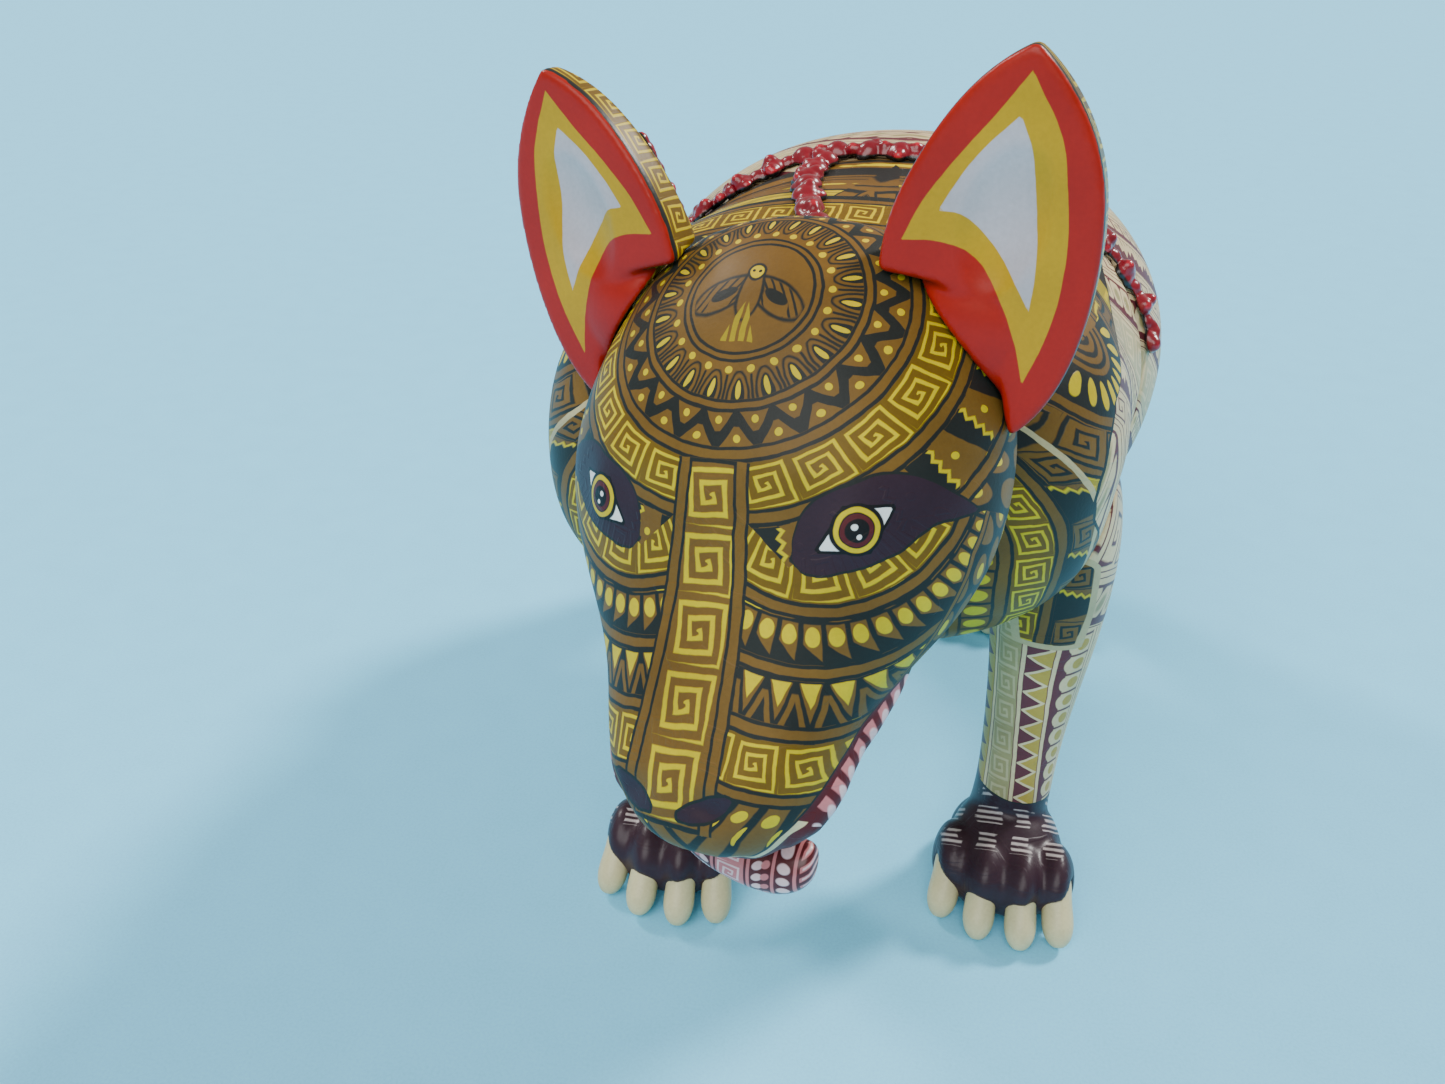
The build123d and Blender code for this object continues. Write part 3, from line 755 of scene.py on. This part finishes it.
def bird(p, x, y):
    """A plain bird with open wings inside the medallion."""
    disc = p.below(p.length(x, y), 15)
    wing = p.length(abs(x) - 7.5, y + abs(x) * 0.35)
    span = (abs(x), y + abs(x) * 0.45, 7.0, 2.6)
    inside = p.dot(*span, 7.2, 4.2)
    p.over(p.dot(*span, 8.2, 5.2) * disc, CHARCOAL)
    p.over(inside * disc, BROWN)
    feathers = p.line(p.cells(abs(x) + y * 0.5, 2), 0, 0.34, 0.1)
    p.over(feathers * inside * p.above(wing, 3.2), CHARCOAL)
    p.over(p.dot(*span, 3.2, 1.7) * disc, CHARCOAL)
    p.over(p.dot(x, y, 0, 0.5, 3.6, 8.4) * disc, CHARCOAL)
    p.over(p.dot(x, y, 0, 0.5, 2.8, 7.6) * disc, BROWN)
    p.over(p.dot(x, y, 0, 6.6, 2.8, 2.8), CHARCOAL)
    p.gold(p.dot(x, y, 0, 6.6, 2, 2))
    for side in (-1, 1):
        p.over(p.dot(x, y, 0.9 * side, 6.9, 0.45, 0.45), BLACK)
    tail = p.cells(x, 2.4)
    p.over(p.below(abs(x) + y * 0.4, -0.6) * p.above(y, -13) * p.below(abs(tail), 0.32, 0.08), MUSTARD)


def lip_roll(p):
    """Distance from the full lip that stands out along both sides of the muzzle."""
    knots = np.array(LIP_ROLL)
    roll = np.full(p.shape[:-1], 99.0)
    for a, b in zip(knots[:-1], knots[1:]):
        e = b - a
        t = np.clip(((p - a) @ e) / (e @ e), 0, 1)[..., None]
        roll = np.minimum(roll, np.linalg.norm(p - a - t * e, axis=-1) - LIP_RADIUS)
    return roll


def build_head():
    """The head, with eye sockets, eyeballs, brows, nostrils and a full lip carved on."""
    block = Block("head", STEP["head"]).soften(2)
    p = to_head(block.points())
    q = p.copy()
    q[..., 0] = np.abs(p[..., 0] + ridge_drift(p[..., 1]))
    p[..., 0] = np.abs(p[..., 0])
    socket = bump_at(p, IRIS + 2.5 * EYE_LONG, (17, 14, 12), -1.1)
    ball = bump_at(p, IRIS, (8, 8, 8), 1.9)
    brow = bump_at(p, IRIS + 12.5 * EYE_UP, (16, 6, 9), 1.0)
    nostril = bump_at(q, (11.5, 99.5, 29), (6, 3.4, 7), -1.8)
    wing = bump_at(q, (15.5, 95, 27), (6, 6, 8), 0.9)
    block.field += socket + ball + brow + nostril + wing
    block.field = np.minimum(block.field, lip_roll(p)).astype(np.float32)
    block.soften(1)
    obj, points = block.mesh("head_carving", "body", head_paint(), "golden_paint")
    head_marks(obj, points)


# ---------- ears
def ear_paint():
    """A red cup with a yellow and a pale shape inside, and golden patterns behind."""
    p = Paint("ear_red", RED, 0.25)
    rim, up, face = p.read("ear")
    across, depth, _ = p.read("earback")
    yellow, pale, _ = p.read("earband")
    p.over(p.above(yellow, 0), EAR_YELLOW)
    p.over(p.above(pale, 0), EAR_PALE)
    outside = p.least(p.below(face, 0.32, 0.12), p.most(p.below(rim, 3), p.below(face, -0.1, 0.12)))
    p.over(outside, BROWN)
    back = p.below(face, -0.5, 0.12)
    side = outside * p.above(face, -0.5, 0.12)
    p.fret(up, across, -16, -2, 14, back)
    p.fret(up, across, 12, 25, 14, back, shift=0.4)
    panels(p, up, across, 0, 10, 22, back)
    p.rules(across, ((-1.8, -0.2), (10.2, 11.8)), back, BROWN, CHARCOAL, 0.7)
    p.band(rim, 0.8, 2.2, back, CHARCOAL)
    p.over(side, CHARCOAL)
    p.fret(up, depth, -13, -2.5, 11.5, side, shift=0.3)
    return p.finish(0.38, 0.15, relief=0.15, fade=0.09)


def build_ear(name, sign, material):
    """One ear, which rides on its own body."""
    node = "ear_" + name
    block = Block(node, STEP["ear"]).soften(2)
    obj, points = block.mesh(node + "_carving", node + "_body", material, "ear_red_paint")
    root, up, out, face = ear_axes(sign)
    q = to_head(points) - root
    u, v = q @ up / EAR_SCALE, q @ out / EAR_SCALE
    n = normals(obj)
    facing = np.stack([n @ HEAD_LEFT, -(n @ HEAD_BACK), n @ HEAD_CROWN], -1) @ face
    rim, yellow, pale = (polygon_distance(u, v, ear_outline(*shape))
                         for shape in (EAR_RED_SHAPE, EAR_YELLOW_SHAPE, EAR_PALE_SHAPE))
    attach(obj, "earband", yellow, pale)
    attach(obj, "ear", rim * EAR_SCALE, u, facing)
    attach(obj, "earback", v, q @ face)
    return block


# ---------- mantle, shoulders and trunk
def chest_bands(p, out, run, zone):
    """The mantle's upright bands, from the breastbone outwards."""
    p.over(zone, CHARCOAL)
    p.fret(run, out, 12, 26, 13, zone)
    p.over(p.below(out, 9) * zone, BROWN)
    p.gold(p.dot(out, p.cells(run, 9) * 9, 0, 0, 5.6, 3.2) * zone)
    panels(p, run, out, 31, 46, 30, zone)
    strip = p.band(out, 50, 58.6, zone, BROWN)
    pill = p.cells(run, 6.4)
    p.over(p.line(abs(pill), 0.5, 0.16, 0.06) * strip, CHARCOAL)
    p.gold(p.dot(out, pill * 6.4, 54.3, 0, 3.3, 2.1) * zone)
    p.fret(run, out, 63.6, 75, 11.8, zone)
    outer = p.between(out, 79.6, 93) * zone
    spin = p.cells(run, 24, 0.2)
    panels(p, run, out, 79.6, 93, 24, zone, 0.2)
    window = outer * p.above(spin, 0.06, 0.02)
    p.over(window, CHARCOAL)
    p.over(p.line(spin, 0.28, 0.40, 0.02) * p.between(out, 80.8, 92) * zone, BROWN)
    p.spiral((spin - 0.28) * 2.4, (out - 86.4) / 11.4, window, CHARCOAL, 2.1, 0.40)
    p.rules(out, ((10, 11.2), (27.2, 30), (46.8, 49.4), (59.6, 62.6), (76, 78.6)), zone)


def mantle_paint():
    """Golden bands down the chest, a fan on each shoulder, rows on the nape, then the cream flank."""
    p = Paint("golden_mantle", BROWN, 0.5)
    out, run, hem = p.read("mantle")
    x, y, z = p.read("spot")
    chest_bands(p, out, run, EVERYWHERE)
    # shoulder behind the chest bulge
    fan, arc, _ = p.read("fan")
    back = p.above(hem, 0)
    p.over(back, CHARCOAL)
    p.over(p.line(p.cells(fan, 3.2), 0, 0.55, 0.1) * p.below(fan, 13) * back, BROWN)
    petal = p.cells(arc, 5)
    p.gold(p.dot(petal * 5, fan, 0, 18, 1.5, 4.2) * back)
    p.rule(fan, 24, 26.6, back)
    p.fret(arc * 1.4, fan, 27.8, 38.6, 12, back, BROWN, CHARCOAL, 2.1)
    p.rule(fan, 39.6, 41.2, back)
    p.fret(arc * 1.7, fan, 42.2, 53, 12, back, MUSTARD, YELLOW, 2.1)
    panels(p, arc * 2, fan, 54.6, 66, 26, back)
    p.rule(fan, 66.8, 69, back)
    leaves(p, arc * 2.2, fan, 9, 8, back * p.above(fan, 70))
    p.over(p.line(hem, 0, 2.2) * p.below(z, 222), BEIGE)
    # nape
    nape = p.above(z, NAPE_FOOT) * p.below(y, NAPE_BACK)
    p.over(nape, CHARCOAL)
    p.fret(x, y, 6, 20, 13, nape)
    panels(p, x, y, 24, 37, 26, nape)
    p.fret(x, y, 41, 55, 13, nape)
    p.rules(y, ((2.6, 5), (21, 23), (38, 40), (56, 58.4)), nape)
    # cream flank past the mantle
    past, _, _ = p.read("edge")
    flank_bands(p, p.above(past, 0))
    p.over(p.line(past, 0, 1.6), CHARCOAL)
    return p.finish(0.48, 0.03)


def mantle_marks(obj, p, shift=0.0):
    """Tells the paint how far out on the chest, up the shoulder and back on the flank a point is."""
    x, y, z = p.T
    across = np.abs(x - np.interp(y, *zip(*CHEST_CENTRES)))
    out = across + 0.0165 * np.clip(z - 178, 0, 62) ** 2 + np.clip(y + 5, 0, None) * 0.25 - shift
    attach(obj, "mantle", out, z + 0.25 * y, out - CHEST_HALF)
    attach(obj, "spot", x - NAPE_MIDDLE, y, z)
    back, rise = y - FAN_CENTRE[0], z - FAN_CENTRE[1]
    attach(obj, "fan", np.hypot(back, rise), np.arctan2(back, -rise) * 18)
    attach(obj, "edge", y - np.interp(z, *zip(*GOLDEN_EDGE)))
    flank_marks(obj, p)


def flank_bands(p, zone):
    """Cream and maroon bands, one set after the other down the flank."""
    far, run, _ = p.read("flank")
    place = p.cells(far, FLANK_REPEAT, 0.5) * FLANK_REPEAT
    p.over(zone, CREAM)
    # maroon strip with rounded blocks
    band = p.band(place, -44, -27, zone, MAROON)
    block = p.cells(run, 8)
    square = p.below(p.most(abs(block) * 2, abs(place + 36.5) / 6.4), 0.95, 0.05)
    p.over(p.below(p.length(block * 1.9, (place + 36.5) / 7.4), 1, 0.12) * square * band, CREAM)
    p.over(p.dot(block * 8, place, 0, -36, 2, 3.6, 0.5) * band, SAND)
    # beige square spirals
    p.fret(run, place, -23, -5, 16, zone, BEIGE, CREAM, 2.2)
    # teeth
    band = p.band(place, -2, 8, zone, MAROON)
    tooth = p.cells(run, 6)
    p.over(p.below(abs(tooth), 0.40, 0.06) * p.between(place, -1.6, 5) * band, CREAM)
    p.over(p.dot(tooth * 6, place, 0, 1.2, 1.2, 1.4, 0.5) * band, SAND)
    # feathers
    band = p.band(place, 11, 26, zone, MAROON)
    barbs = abs(p.cells(run + place * 0.35, 3.4)) * 2
    tips = abs(p.cells(run, 13)) * 2
    p.over(p.below(place + barbs * 3.5 + tips * 5, 22.5) * band, CREAM)
    p.over(p.below(place + tips * 4, 15.6) * p.line(p.cells(run, 2.6), 0, 0.3, 0.1) * band, SAND)
    # maroon square spirals
    p.fret(run, place, 29, 42, 13.5, zone, CREAM, MAROON, 2, 0.3, 0.26)
    limits = ((-26, -24), (-4.4, -2.4), (8.6, 10.6), (26.6, 28.4), (43, 45))
    p.rules(place, limits, zone, CREAM, MAROON, 0.5)


def flank_paint(name):
    """Cream paint with the flank's bands, to be finished by its user."""
    p = Paint(name, CREAM, 0.4)
    flank_bands(p, EVERYWHERE)
    return p


def flank_marks(obj, p):
    """Tells the paint how far down the slanting flank a point is, and how far along it."""
    x, y, z = p.T
    across = np.abs(x)
    slope = z + 0.95 * (y - 110) * np.clip((z - 120) / 90, 0.35, 1)
    top = np.clip((z - 246) / 16, 0, 1)
    attach(obj, "flank", FLANK_START - slope + top * across * 0.15, y * 0.75 - z * 0.62 + across * 0.5)


def build_body():
    """The neck block with the mantle, and the trunk. Returns both, for the crest to lie on."""
    neck = Block("neck_block", STEP["block"]).soften(3)
    obj, points = neck.mesh("mantle_carving", "body", mantle_paint(), "golden_paint")
    mantle_marks(obj, points)
    trunk = Block("trunk", STEP["block"]).soften(3)
    paint = flank_paint("cream_trunk").finish(0.5, 0.12)
    obj, points = trunk.mesh("trunk_carving", "body", paint, "cream_paint")
    flank_marks(obj, points)
    return neck, trunk


# ---------- legs
def paint_shank(p, s, z, zone):
    """Upright strips round the lower leg: s is the distance round it from the front."""
    c = abs(s)
    p.over(zone, BEIGE)
    p.fret(z, s, -20, -7.5, 13, zone, SAND, BEIGE, 2.2, 0, 0.40)
    # jagged flames down the front
    front = p.band(s, -5.4, 5.4, zone, OCHRE)
    jag = abs(p.cells(z, 8.4)) * 2
    flame = s - jag * 9
    p.over(p.below(flame, -4.6) * front, MAROON)
    p.over(p.line(flame, -4.6, 2.4) * front, CREAM)
    # lobes on the outer side
    p.band(s, 7.6, 20.4, zone, MAROON)
    lobe = p.cells(z, 8.8)
    p.over(p.below(abs(lobe), 0.44, 0.05) * p.between(s, 12, 20.4) * zone, CREAM)
    p.over(p.dot(lobe * 8.8, s, 0, 13.4, 3.6, 3.2) * zone, CREAM)
    p.over(p.dot(lobe * 8.8, s, 0, 16.6, 2.5, 2.8) * zone, OCHRE)
    p.fret(z, s, 22.6, 35, 13, zone, BEIGE, CREAM, 2.2, 0, 0.40)
    # ovals and square spirals towards the back
    p.band(c, 37.5, 47, zone, MAROON)
    p.over(p.dot(lobe * 8.8, c, 0, 42.2, 3.4, 3.6) * zone, CREAM)
    p.fret(z, c, 49.5, 64, 13, zone, SAND, BEIGE, 2.2)
    # flames on the inner side
    inner = p.band(s, -35, -22.5, zone, OCHRE)
    p.over(p.below(s + jag * 10, -24) * inner, MAROON)
    limits = ((-7.4, -5.6), (5.6, 7.4), (20.6, 22.2), (-22.2, -20.4), (-37.2, -35.2))
    p.rules(s, limits, zone, CREAM, MAROON, 0.4)
    p.rule(c, 47.2, 49.2, zone, CREAM, MAROON, 0.4)


def paint_paw(p, reach):
    """A dark mitt with three sets of pale dashes on each toe."""
    toe, along, dark = p.read("paw")
    across = p.cells(toe, 1, 0.5)
    p.over(p.above(dark, -0.6), CHARCOAL)
    p.over(p.above(dark, 0), AUBERGINE)
    stripe = p.line(p.cells(along, 2.3), 0, 0.46, 0.2)
    for start in (4, 15, 26):
        rows = p.between(along, start, start + 6.9) * p.below(abs(across), 0.26, 0.05) * p.above(dark, 0.8)
        p.over(rows * p.above(reach, 2) * stripe, PAW_GREY, raised=True)


def leg_paint(name, golden):
    """Flank bands above, strips on the shank and a dark paw. A foreleg is golden at the top."""
    p = flank_paint(name)
    s, z, reach = p.read("leg")
    paint_shank(p, s, z, p.below(z, SHANK_TOP))
    if golden:
        out, run, _ = p.read("mantle")
        past, _, _ = p.read("edge")
        chest_bands(p, out, run, p.above(z, GOLDEN_FOOT) * p.below(past, 0))
        p.over(p.line(past, 0, 2.2) * p.above(z, GOLDEN_FOOT - 1), BEIGE)
        p.over(p.line(z, GOLDEN_FOOT, 2.2) * p.below(past, 0), BEIGE)
    paint_paw(p, reach)
    return p.finish(0.42, 0.2)


def web_paw(block, x0, y0):
    """Joins the toes into one mitt with shallow ridges."""
    p = block.points()
    web = (np.linalg.norm((p - (x0, y0 - 20.0, 15.0)) / (24.0, 20.0, 16.5), axis=-1) - 1) * 16.5
    blend = 5.0
    h = np.clip(0.5 + 0.5 * (web - block.field) / blend, 0, 1)
    joined = web * (1 - h) + block.field * h - blend * h * (1 - h)
    block.field = np.maximum(joined, 0.4 - p[..., 2]).astype(np.float32)


def build_leg(kind, name, sign, material):
    """One leg with its paw."""
    node = kind + "leg_" + name
    x0, y0 = FEET[kind][sign]
    block = Block(node, STEP["leg"])
    web_paw(block, x0, y0)
    block.soften(2)
    obj, p = block.mesh(node + "_carving", "body", material, "cream_paint")
    x, y, z = p.T
    dx = x * sign - 65 - np.clip(100 - z, 0, 60) * 0.05
    dy = y - y0
    attach(obj, "leg", np.arctan2(dx, -dy) * 21, z, -dy)
    attach(obj, "paw", dx / TOE_WIDTH, (PAW_TOP + 2 - z - dy) * 0.75, PAW_TOP - 0.12 * dx - z)
    if kind == "fore":
        mantle_marks(obj, p, FORELEG_SHIFT)
    else:
        flank_marks(obj, p)


# ---------- tongue, jaw, tail, crest
def mouth_paint(name):
    """Pink and maroon rows on both sides of a middle line, wet with varnish."""
    p = Paint(name, DARK_MAROON, 0.25)
    s, run, _ = p.read("mouth")
    c = abs(s)
    p.over(p.between(s, -5.5, 5.5), PINK)
    p.fret(run, s, -5, 5, 9.5, EVERYWHERE, PINK, PALE_PINK, 2.2)
    p.rule(c, 6.4, 7.6, EVERYWHERE, PINK, DARK_MAROON, 0.5)
    lobe = p.cells(run + c * 0.4, 4.6)
    p.over(p.dot(lobe * 4.6, c, 0, 10.4, 1.6, 2, 0.25), PALE_PINK, raised=True)
    p.over(p.dot(lobe * 4.6, c, 0, 13.4, 1.4, 1.6, 0.25), PINK)
    p.rules(c, ((15.6, 16.8), (23.4, 24.6)), EVERYWHERE, PINK, DARK_MAROON, 0.4)
    lobe = p.cells(run, 5.2)
    p.over(p.dot(lobe * 5.2, c, 0, 20, 1.9, 2.3, 0.25), PALE_PINK, raised=True)
    lobe = p.cells(run + c * 0.5, 4.4)
    p.over(p.line(lobe, 0, 0.5, 0.1) * p.above(c, 25.6), PINK)
    p.over(p.line(lobe, 0, 0.2, 0.1) * p.above(c, 26.4), PALE_PINK)
    return p.finish(0.3, 0.4)


def build_mouth():
    """The tongue and the lower jaw."""
    for node, slot in (("tongue", "tongue_paint"), ("lower_jaw", "jaw_paint")):
        block = Block(node, STEP["mouth"]).soften(2)
        obj, points = block.mesh(node + "_carving", "body", mouth_paint("pink_" + node), slot)
        side, nose, crown = to_head(points).T
        if node == "tongue":
            attach(obj, "mouth", side * 1.25, (nose - crown) * 1.25)
        else:
            attach(obj, "mouth", 8.0 + (np.interp(nose, *JAW_EDGE) - crown) * 0.9, nose)


def build_tail():
    """The tail, which rides on its own body."""
    block = Block("tail", STEP["tail"]).soften(2)
    paint = flank_paint("cream_tail").finish(0.5, 0.12)
    obj, p = block.mesh("tail_carving", "tail_body", paint, "cream_paint")
    x, y, z = p.T
    attach(obj, "flank", y * 0.9 - z * 0.5, np.arctan2(x, z - z.mean()) * 16)


def crest_paint():
    """Glossy crimson, with darker painted shade between the beads, a painted highlight on their tops and
    black painted shade where a strand meets the wood.
    """
    p = Paint("crest_red", CRIMSON, 0.3)
    foot, tip, peak = p.read("crest")
    # painted shade: darker crimson in the hollows between the beads
    p.over(p.below(peak, -0.25, 0.5), CRIMSON_PAINTED_SHADE)
    # painted highlight: lighter crimson on the bead tops
    p.over(p.above(peak, 0.55, 0.5), CRIMSON_PAINTED_HIGHLIGHT)
    # painted shade: black along the foot of each strand, where it meets the wood
    p.over(p.below(foot, 1.6, 0.5), BLACK)
    p.over(p.above(tip, 0, 0.6), BLACK)
    return p.finish(0.2, 0.7, relief=0.5, fade=0.2)


def build_crest(ground, ear):
    """The beaded strands. ground is what they lie on, and ear is what the ear's strand lies on."""
    material = crest_paint()
    rng = np.random.default_rng(11)
    for node in ("crest_back", "crest_nape", "crest_shoulder_left", "crest_shoulder_right", "crest_ear"):
        block = Block(node, STEP["crest"], 6)
        shell = np.argwhere(np.abs(block.field) < 0.35)
        beads = max(FEWEST_BEADS, len(shell) // POINTS_PER_BEAD)
        seeds = shell[rng.choice(len(shell), beads, replace=False)]
        grid = block.points()
        near = np.full(block.field.shape, 99.0)
        for seed in (seeds + block.low) * block.step:
            near = np.minimum(near, ((grid - seed) ** 2).sum(-1))
        near = np.sqrt(near)
        block.field += (np.minimum(near, BEAD_REACH) - BEAD_EDGE) * BEAD_RISE
        on_ear = node == "crest_ear"
        obj, p = block.mesh(node + "_carving", "ear_right_body" if on_ear else "body", material, "crest_red")
        foot = ear.near(p) if on_ear else np.minimum(ground[0].near(p), ground[1].near(p))
        tip = p[:, 1].min() + 16.0 - p[:, 1] if node == "crest_nape" else -1.0
        cell = np.clip(np.rint(p / block.step - block.low).astype(int), 0, np.array(near.shape) - 1)
        attach(obj, "crest", foot, tip, 1.2 - near[cell[:, 0], cell[:, 1], cell[:, 2]])


# ---------- stage
def build_stage():
    """The camera, a pale blue floor and three soft lamps."""
    scene = bpy.context.scene
    cam = bpy.data.cameras.new("camera")
    cam.lens, cam.sensor_width = LENS, SENSOR
    cam.clip_start, cam.clip_end = 0.02, 20.0
    cam.dof.use_dof = False
    rig = bpy.data.objects.new("camera", cam)
    x, y, z = CAMERA_PLACE
    rig.location = (x * MM, (y + STANCE_SHIFT) * MM, z * MM)
    rig.rotation_euler = Euler((math.radians(CAMERA_TILT), 0, math.radians(CAMERA_TURN)))
    scene.collection.objects.link(rig)
    scene.camera = rig
    mesh = bpy.data.meshes.new("floor")
    corners = [(x * FLOOR_HALF, y * FLOOR_HALF, 0) for x, y in ((-1, -1), (1, -1), (1, 1), (-1, 1))]
    mesh.from_pydata(corners, [], [(0, 1, 2, 3)])
    floor = bpy.data.objects.new("floor", mesh)
    scene.collection.objects.link(floor)
    mesh.materials.append(plain("floor_paper", FLOOR_BLUE, 0.9, fade=0.02, relief=0.0))
    for name, (place, spread, power, tint) in LAMPS.items():
        lamp = bpy.data.lights.new(name, "SUN")
        lamp.angle, lamp.energy, lamp.color = math.radians(spread), power, tint
        obj = bpy.data.objects.new(name, lamp)
        obj.location = place
        obj.rotation_euler = (-Vector(place)).to_track_quat("-Z", "Y").to_euler()
        scene.collection.objects.link(obj)
    world = bpy.data.worlds.new("studio")
    scene.world = world
    world.use_nodes = True
    back = world.node_tree.nodes["Background"]
    back.inputs[0].default_value = SKY
    back.inputs[1].default_value = SKY_STRENGTH


# ---------- the whole figure
build_stage()
build_head()
ear_material = ear_paint()
build_ear("left", 1, ear_material)
right_ear = build_ear("right", -1, ear_material)
grounds = build_body()
fore_paint = leg_paint("cream_foreleg", True)
hind_paint = leg_paint("cream_hindleg", False)
for leg_name, leg_sign in (("left", 1), ("right", -1)):
    build_leg("fore", leg_name, leg_sign, fore_paint)
    build_leg("hind", leg_name, leg_sign, hind_paint)
build_mouth()
build_tail()
build_crest(grounds, right_ear)

claw_material = plain("claw_cream", CLAW, 0.38, 0.25, fade=0.1)
wood_material = plain("bare_copal", WOOD, 0.7, stretch=(6, 1, 6))
for node_name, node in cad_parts.items():
    if node.hide_render:
        continue
    node.data.materials.clear()
    node.data.materials.append(claw_material if node_name.startswith("claw") else wood_material)
